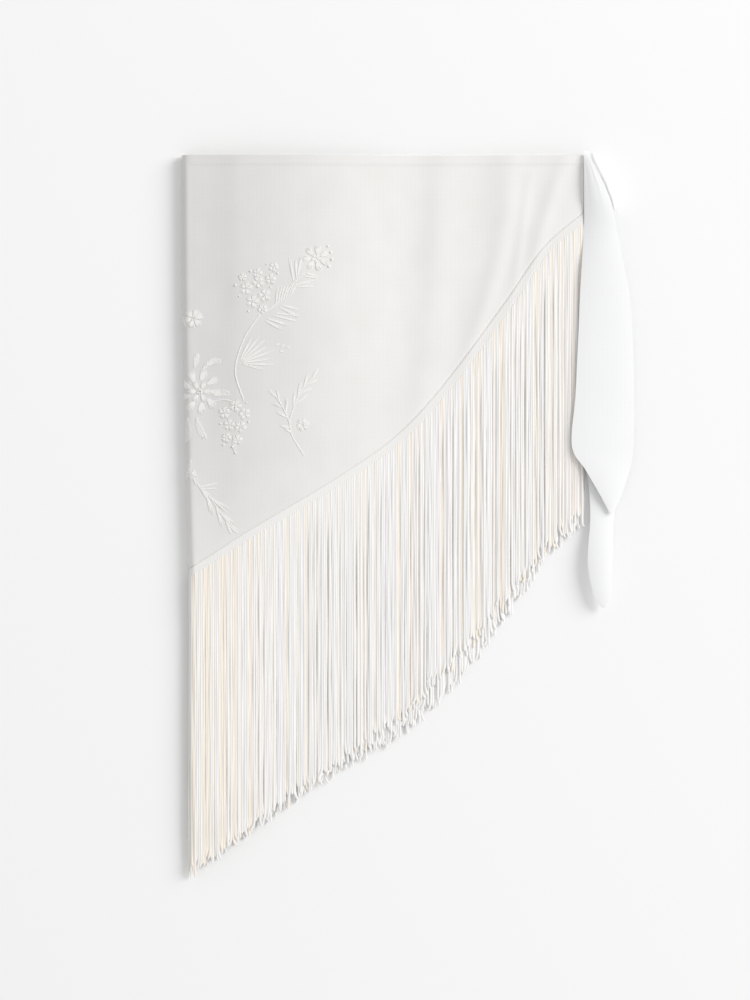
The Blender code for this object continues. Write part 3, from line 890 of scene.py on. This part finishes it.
def cordRoute(root, normal, layer, length, shift, draw):
    # a cord falls from its root to its layer, drifts a little, and curls at its tip
    nearFold = 1 - smoothStep((root.x - planCorner.x) / fringeLook["foldReach"])
    height = layer + (root.z - layer) * fringeLook["foldRise"] * nearFold
    swayA, swayB = draw.uniform(-1, 1), draw.uniform(-1, 1)
    phase = draw.uniform(0, 6.28)
    curl = draw.choice((-1, 1)) * draw.uniform(0.1, 1.0) ** 3 * 0.5
    lift = draw.uniform(-0.2, 0.5)
    count = max(8, int(length / fringeLook["ringStep"]))
    straight = length - fringeLook["tipCurl"]
    route = []
    for i in range(count + 1):
        gone = straight * i / count
        share = gone / length
        drift = fringeLook["sway"] * (swayA * math.sin(3.1 * share + phase) + 0.6 * swayB * math.sin(9 * share + 2 * phase))
        x = root.x + drift * smoothStep(share * 4) + shift * smoothStep(share * 2.2)
        fallen = 0.0012 * smoothStep(1 - (length - gone) / 0.06)
        z = height - fallen + (root.z - height) * (1 - smoothStep(gone / 0.055)) + 0.0002 * math.sin(14 * share + phase)
        route.append(Vector((x, root.y + 0.0012 - gone, z)))
    place, bearing = route[-1].copy(), 0.0
    for i in range(7):
        bearing += curl * (0.05 + 0.07 * i)
        place = place + Vector((math.sin(bearing), -math.cos(bearing), 0.12 * lift)) * fringeLook["tipCurl"] / 7
        place.z = max(place.z, fringeLook["radius"] + 0.0001)
        route.append(place.copy())
    return route


def makeFringe(name, headingPoint, start, end, layers, extra, seed, node):
    draw = random.Random(seed)
    points, faces, uvs, paintedGapShade = [], [], [], []
    places = evenStations(headingPoint, start, end, fringeLook["cords"])
    bunch = 0.0
    left = 0
    for number, station in enumerate(places):
        if left == 0:
            left = draw.choice((2, 3, 3, 4, 5))
            size = left
        left -= 1
        bunch = ((size - 1) / 2 - (size - 1 - left)) * fringeLook["clump"] * draw.uniform(0.3, 1.0)
        root, normal = headingPoint(station, 1.0)
        x = root.x - planCorner.x
        wave = fringeLook["lengthWave"] * math.cos(2 * math.pi * x / fringeLook["lengthCycle"])
        more = extra * math.exp(-((x - fringeLook["backExtraAt"]) / fringeLook["backExtraReach"]) ** 2)
        length = fringeLook["length"] + wave + more + draw.uniform(-1, 1) * fringeLook["lengthJitter"]
        # under cords lie a little lower and get the painted gap shade; more of them near the fold, as painted shade
        # there
        under = 1 if draw.random() < 0.28 + 0.24 * (1 - smoothStep(x / 0.16)) else 0
        layer = draw.choice(layers) + draw.uniform(-0.0001, 0.0001) - 0.0006 * under
        route = cordRoute(root, normal, layer, length, bunch, draw)
        radii = [fringeLook["radius"] * (1 + 0.10 * noise.noise(p * 90)) for p in route]
        radii[-1] *= 0.45
        tubeInto(points, faces, uvs, route, radii, fringeLook["sides"])
        new = len(faces) - len(paintedGapShade)
        # the covered part of each back cord, and every under cord of the front, get the painted warm gap shade
        covered = int(new * fringeLook["covered"]) if node == "back_fringe" else new * under
        paintedGapShade += [1] * covered + [0] * (new - covered)
    piece = meshPiece(name, points, faces, uvs)
    smoothPiece(piece)
    finishPiece(piece, ivoryCord, [node])
    piece.data.materials.append(paintedGapShadeCord)
    for polygon in piece.data.polygons:
        polygon.material_index = paintedGapShade[polygon.index]
    return piece


headingLook = {
    "ribPitch": 0.0021,          # one rib for each looped cord end
    "ribHeight": 0.00011,
    "stepsPerRib": 6,
    "across": 18,
    "thickness": 0.0008,
    "tuck": 0.25,                # how far it reaches under the cloth, in widths
    "stitchRows": (0.16, 0.50, 0.84),
    "stitchWidth": 0.055,
    "stitchDepth": 0.00016,
}


def makeHeading(name, headingPoint, start, end, stepsPerRib):
    # the sewn band that the cords are looped through: fine ribs, pinched by rows of stitching
    length = 0.0
    samples = 400
    ends = [headingPoint(start + (end - start) * i / samples, 0.5)[0] for i in range(samples + 1)]
    length = sum((b - a).length for a, b in zip(ends, ends[1:]))
    ribs = int(length / headingLook["ribPitch"])
    count = ribs * stepsPerRib
    rows, uvRows = [], []
    for r in range(headingLook["across"] + 1):
        share = (1 + headingLook["tuck"]) * r / headingLook["across"] - headingLook["tuck"]
        sink = 0.0016 * smoothStep((0.10 - share) / 0.16)
        pinch = sum(math.exp(-((share - s) / headingLook["stitchWidth"]) ** 2) for s in headingLook["stitchRows"])
        row, uvRow = [], []
        for c in range(count + 1):
            station = start + (end - start) * c / count
            point, normal = headingPoint(station, share)
            rib = abs(math.sin(math.pi * c / stepsPerRib))
            swell = headingLook["ribHeight"] * rib - headingLook["stitchDepth"] * pinch * (0.6 + 0.4 * rib)
            edge = 0.0003 * math.exp(-((share - 0.5) / 0.5) ** 8)
            row.append(point + normal * (swell + edge - sink))
            uvRow.append((share * 0.5, c / count * length))
        rows.append(row)
        uvRows.append(uvRow)
    piece = sheetPiece(name, rows, uvRows)
    thicken(piece, headingLook["thickness"], -1.0)
    smoothPiece(piece, 70)
    return finishPiece(piece, ivoryTape)


roundFold = 0.0136
frontEnd = clothPlan["panelEnd"] - clothPlan["foldRadius"]
backStart = clothPlan["foldRadius"] + clothPlan["foldFlap"] + clothPlan["seamGap"] / 2
frontFringe = makeFringe(
    "frontFringe", frontHeadingPoint, -roundFold, frontEnd, (0.0052, 0.0054, 0.0056), 0.0, 11, "front_fringe"
)
backFringe = makeFringe(
    "backFringe", backHeadingPoint, backStart, clothPlan["panelEnd"], (0.0036, 0.0039, 0.0042), fringeLook["backExtra"],
    12, "back_fringe",
)
frontHeading = makeHeading("frontHeading", frontHeadingPoint, -roundFold, frontEnd, 6)
backHeading = makeHeading("backHeading", backHeadingPoint, backStart, clothPlan["panelEnd"], 3)
print("fringe", len(frontFringe.data.polygons), len(backFringe.data.polygons))

# the knot and the two tails

# y, left, right, then the height at the left edge, the middle and the right edge
frontTailRows = [
    (0.0038, 0.4012, 0.4050, 0.0078, 0.0078, 0.0078),
    (0.0037, 0.4008, 0.4052, 0.0106, 0.0106, 0.0106),
    (0.0010, 0.4005, 0.4060, 0.0132, 0.0134, 0.0134),
    (-0.0058, 0.4004, 0.4083, 0.0144, 0.0156, 0.0160),
    (-0.0155, 0.4003, 0.4130, 0.0150, 0.0172, 0.0175),
    (-0.0295, 0.4003, 0.4198, 0.0153, 0.0185, 0.0184),
    (-0.0420, 0.4004, 0.4250, 0.0147, 0.0182, 0.0175),
    (-0.0560, 0.4006, 0.4295, 0.0128, 0.0162, 0.0156),
    (-0.0750, 0.4003, 0.4330, 0.0105, 0.0134, 0.0128),
    (-0.1000, 0.3990, 0.4380, 0.0092, 0.0116, 0.0106),
    (-0.1400, 0.3966, 0.4460, 0.0083, 0.0103, 0.0090),
    (-0.1900, 0.3945, 0.4495, 0.0081, 0.0097, 0.0080),
    (-0.2400, 0.3920, 0.4505, 0.0081, 0.0096, 0.0076),
    (-0.2900, 0.3885, 0.4500, 0.0085, 0.0099, 0.0080),
    (-0.3140, 0.4020, 0.4460, 0.0100, 0.0106, 0.0084),
    (-0.3380, 0.4160, 0.4380, 0.0107, 0.0109, 0.0096),
    (-0.3570, 0.4262, 0.4296, 0.0106, 0.0106, 0.0103),
]
backTailRows = [
    (-0.0622, 0.4080, 0.4260, 0.0090, 0.0090, 0.0090),
    (-0.0780, 0.4050, 0.4290, 0.0072, 0.0080, 0.0072),
    (-0.1050, 0.4025, 0.4340, 0.0040, 0.0050, 0.0040),
    (-0.1400, 0.4018, 0.4380, 0.0018, 0.0023, 0.0016),
    (-0.1800, 0.4016, 0.4400, 0.0010, 0.0010, 0.0010),
    (-0.2500, 0.4016, 0.4400, 0.0010, 0.0010, 0.0010),
    (-0.3000, 0.4020, 0.4380, 0.0016, 0.0018, 0.0016),
    (-0.3350, 0.4060, 0.4335, 0.0036, 0.0044, 0.0036),
    (-0.3640, 0.4070, 0.4300, 0.0068, 0.0078, 0.0066),
    (-0.3900, 0.4048, 0.4292, 0.0098, 0.0110, 0.0094),
    (-0.4100, 0.4045, 0.4285, 0.0108, 0.0120, 0.0104),
    (-0.4300, 0.4080, 0.4270, 0.0106, 0.0114, 0.0102),
    (-0.4430, 0.4120, 0.4250, 0.0098, 0.0102, 0.0096),
    (-0.4520, 0.4186, 0.4214, 0.0088, 0.0088, 0.0088),
]
tailLook = {"thickness": 0.0010, "across": 36, "stepsPerRow": 9, "pleat": 0.00010, "pleatReach": 0.075}


def tailPoint(table, position, across, pleats):
    y, left, right, leftZ, middleZ, rightZ = curveRow(table, position)
    x = left + (right - left) * across
    z = leftZ * (1 - across) * (1 - 2 * across) + middleZ * 4 * across * (1 - across) + rightZ * across * (2 * across - 1)
    gone = table[0][0] - y
    soften = smoothStep(gone / 0.03) * (1 - smoothStep(gone / tailLook["pleatReach"]))
    ripple = math.sin(2 * math.pi * pleats * across + 0.8) + 0.5 * math.sin(2 * math.pi * (pleats + 1.7) * across)
    z += tailLook["pleat"] * ripple * soften
    z += 0.0005 * noise.noise(Vector((x * 30, y * 9, 1.3)))
    return planCorner + Vector((x, y, max(z, 0.0010)))


def makeTail(name, table, pleats, node, restsOn):
    rows, uvRows = [], []
    last = (len(table) - 1) * tailLook["stepsPerRow"]
    for i in range(last + 1):
        position = i / tailLook["stepsPerRow"]
        row = [tailPoint(table, position, c / tailLook["across"], pleats) for c in range(tailLook["across"] + 1)]
        rows.append(row)
        uvRows.append([(p.x, p.y) for p in row])
    piece = sheetPiece(name, rows, uvRows)
    area = sum(face.area for face in piece.data.polygons)
    thicken(piece, tailLook["thickness"])
    smoothPiece(piece)
    finishPiece(piece, paintedLightTailCrepe, [node])
    return piece, area


# across, centre y, half height, half depth of the wrapped knot
knotSections = [
    (0.4003, -0.0290, 0.0270, 0.0048),
    (0.4040, -0.0285, 0.0300, 0.0064),
    (0.4120, -0.0300, 0.0310, 0.0077),
    (0.4230, -0.0380, 0.0240, 0.0070),
    (0.4295, -0.0465, 0.0150, 0.0050),
    (0.4330, -0.0520, 0.0050, 0.0022),
]
knotLook = {"height": 0.0090, "rings": 60, "sides": 72, "pleat": 0.014, "pleatPitch": 0.0046, "groove": 0.0011, "roll": 0.0005}


def knotSectionAt(x):
    index = next((i for i in range(len(knotSections) - 1) if x <= knotSections[i + 1][0]), len(knotSections) - 2)
    low, high = knotSections[index][0], knotSections[index + 1][0]
    return curveRow(knotSections, index + (x - low) / (high - low))


def tailEdge(y):
    # where the right edge of the front tail runs over the knot
    for here, there in zip(frontTailRows, frontTailRows[1:]):
        if y >= there[0]:
            share = min(1.0, max(0.0, (here[0] - y) / (here[0] - there[0])))
            return here[2] + (there[2] - here[2]) * share
    return frontTailRows[-1][2]


def makeKnot():
    start, end = knotSections[0][0], knotSections[-1][0]
    points, faces, uvs = [], [], []
    for i in range(knotLook["rings"] + 1):
        x = start + (end - start) * math.sin(math.pi / 2 * i / knotLook["rings"])
        _, centre, halfHeight, halfDepth = knotSectionAt(x)
        for s in range(knotLook["sides"]):
            angle = 2 * math.pi * s / knotLook["sides"]
            slant = 0.0016 * math.sin(angle + 0.6)
            pleat = 1 + knotLook["pleat"] * (abs(math.sin(math.pi * (x + slant) / knotLook["pleatPitch"])) - 0.6)
            y = centre + halfHeight * math.cos(angle) * (0.5 + 0.5 * pleat)
            z = knotLook["height"] + halfDepth * pleat * math.sin(angle)
            if math.sin(angle) > 0:
                past = x - tailEdge(y)
                groove = knotLook["groove"] * math.exp(-((past - 0.0003) / 0.0013) ** 2)
                roll = knotLook["roll"] * math.exp(-((past - 0.0040) / 0.0022) ** 2)
                z += (roll - groove) * math.sin(angle)
            points.append(planCorner + Vector((x, y, z)))
            uvs.append((x, y))
    sides = knotLook["sides"]
    for i in range(knotLook["rings"]):
        for s in range(sides):
            a = i * sides + s
            b = i * sides + (s + 1) % sides
            faces.append((a, a + sides, b + sides, b))
    faces.append(tuple(range(sides)))
    faces.append(tuple(knotLook["rings"] * sides + s for s in reversed(range(sides))))
    piece = meshPiece("knotWrap", points, faces, uvs)
    smoothPiece(piece)
    return finishPiece(piece, paintedShadeKnotCrepe, ["knot"])


knotWrap = makeKnot()
frontTail, frontTailArea = makeTail("frontTail", frontTailRows, 3.0, "front_tail", [])
backTail, backTailArea = makeTail("backTail", backTailRows, 2.0, "back_tail", [])
print("knot and tails", round(frontTailArea, 4), round(backTailArea, 4))

# floor, light and camera

studio = {
    "frameWide": 0.750,          # what the picture shows across, in metres
    "frameTall": 1.000,
    "lookAt": (0.1920, -0.3440),  # the picture's middle, on the plan
    "distance": 4.0,
    "keyBearing": 26,            # degrees up from straight right
    "keyElevation": 31,
    "keyDistance": 9.0,
    "keySize": 6.00,
    "keyPower": 600,
    "skyStrength": 0.640,
}


def makeFloor():
    bpy.ops.mesh.primitive_plane_add(size=6, location=(0, 0, 0))
    floor = bpy.context.object
    floor.name = "studioFloor"
    material = bpy.data.materials.new("paleFloor")
    material.use_nodes = True
    shader = material.node_tree.nodes["Principled BSDF"]
    shader.inputs["Base Color"].default_value = (0.940, 0.940, 0.940, 1)
    shader.inputs["Roughness"].default_value = 0.9
    shader.inputs["Specular IOR Level"].default_value = 0.1
    floor.data.materials.append(material)


def aim(thing, target):
    thing.rotation_euler = (target - thing.location).to_track_quat("-Z", "Y").to_euler()


def makeLights():
    middle = planCorner + Vector((*studio["lookAt"], 0.0))
    bearing, rise = math.radians(studio["keyBearing"]), math.radians(studio["keyElevation"])
    away = Vector((math.cos(bearing) * math.cos(rise), math.sin(bearing) * math.cos(rise), math.sin(rise)))
    light = bpy.data.lights.new("keyLight", "AREA")
    light.shape = "DISK"
    light.size = studio["keySize"]
    light.energy = studio["keyPower"]
    lamp = bpy.data.objects.new("keyLight", light)
    lamp.location = middle + away * studio["keyDistance"]
    aim(lamp, middle)
    bpy.context.scene.collection.objects.link(lamp)
    world = bpy.data.worlds.new("studioWorld")
    world.use_nodes = True
    sky = world.node_tree.nodes["Background"]
    sky.inputs["Color"].default_value = (1.0, 1.0, 1.0, 1)
    sky.inputs["Strength"].default_value = studio["skyStrength"]
    bpy.context.scene.world = world


def makeCamera():
    camera = bpy.data.cameras.new("photoCamera")
    camera.sensor_fit = "AUTO"
    camera.sensor_width = 36
    camera.lens = 36 * studio["distance"] / studio["frameTall"]
    camera.clip_end = 20
    seen = bpy.data.objects.new("photoCamera", camera)
    seen.location = planCorner + Vector((*studio["lookAt"], studio["distance"]))
    bpy.context.scene.collection.objects.link(seen)
    bpy.context.scene.camera = seen


makeFloor()
makeLights()
makeCamera()
bpy.context.scene.view_settings.view_transform = "Standard"
print("studio ready")
